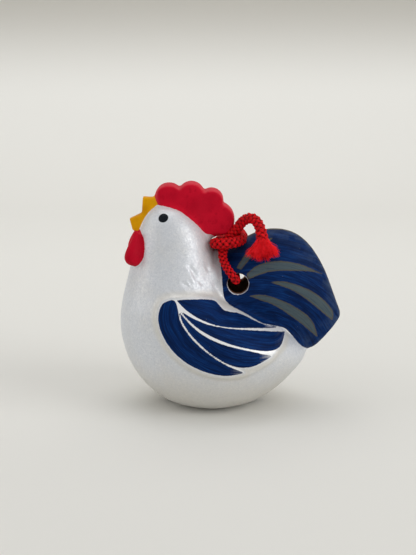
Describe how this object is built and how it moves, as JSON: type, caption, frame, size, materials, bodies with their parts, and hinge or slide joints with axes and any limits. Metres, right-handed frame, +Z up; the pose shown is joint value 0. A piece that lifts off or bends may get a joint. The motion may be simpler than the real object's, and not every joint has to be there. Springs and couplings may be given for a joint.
{
  "type": "clay rooster bell",
  "caption": "Hollow fired-clay rooster bell that rattles with a loose clay pellet, with a sound slit under its belly and a red braided cord knotted through a hole in its tail.",
  "frame": {"origin": "under the middle of the clay bird's box, on the surface that the foot stands on", "axes": "+Z up, -X the way the bird faces, -Y its left side, which is the side with the shown tassel"},
  "size_m": [0.0688, 0.0478, 0.0698],
  "materials": {
    "painted_clay": "fired clay, hand painted in pearl white, navy, grey, red and yellow, satin",
    "bare_clay": "unpainted fired clay, dull",
    "red_cord": "round braid of fine red fibre, satin, with frayed ends"
  },
  "bodies": {
    "bird": {"clay_half_left": "painted_clay", "clay_half_right": "painted_clay", "cord_loop": "red_cord", "knot_strand_left": "red_cord", "knot_strand_right": "red_cord"},
    "pellet": {"rattle_pellet": "bare_clay"},
    "left_end": {"cord_end_left": "red_cord", "tassel_left": "red_cord"},
    "right_end": {"cord_end_right": "red_cord", "tassel_right": "red_cord"}
  },
  "joints": [
    {"name": "rattle_roll", "type": "hinge", "parent": "bird", "child": "pellet", "pos_m": [-0.006, 0, 0.03], "axis": [0, 1, 0], "range_deg": [-30, 30]},
    {"name": "tassel_swing_left", "type": "hinge", "parent": "bird", "child": "left_end", "pos_m": [0.0057, -0.006, 0.0596], "axis": [-0.8181, 0.5703, -0.0739], "range_deg": [0, 60]},
    {"name": "tassel_swing_right", "type": "hinge", "parent": "bird", "child": "right_end", "pos_m": [-0.0026, 0.007, 0.0508], "axis": [0.2363, 0.9704, -0.0489], "range_deg": [-8, 40]}
  ]
}
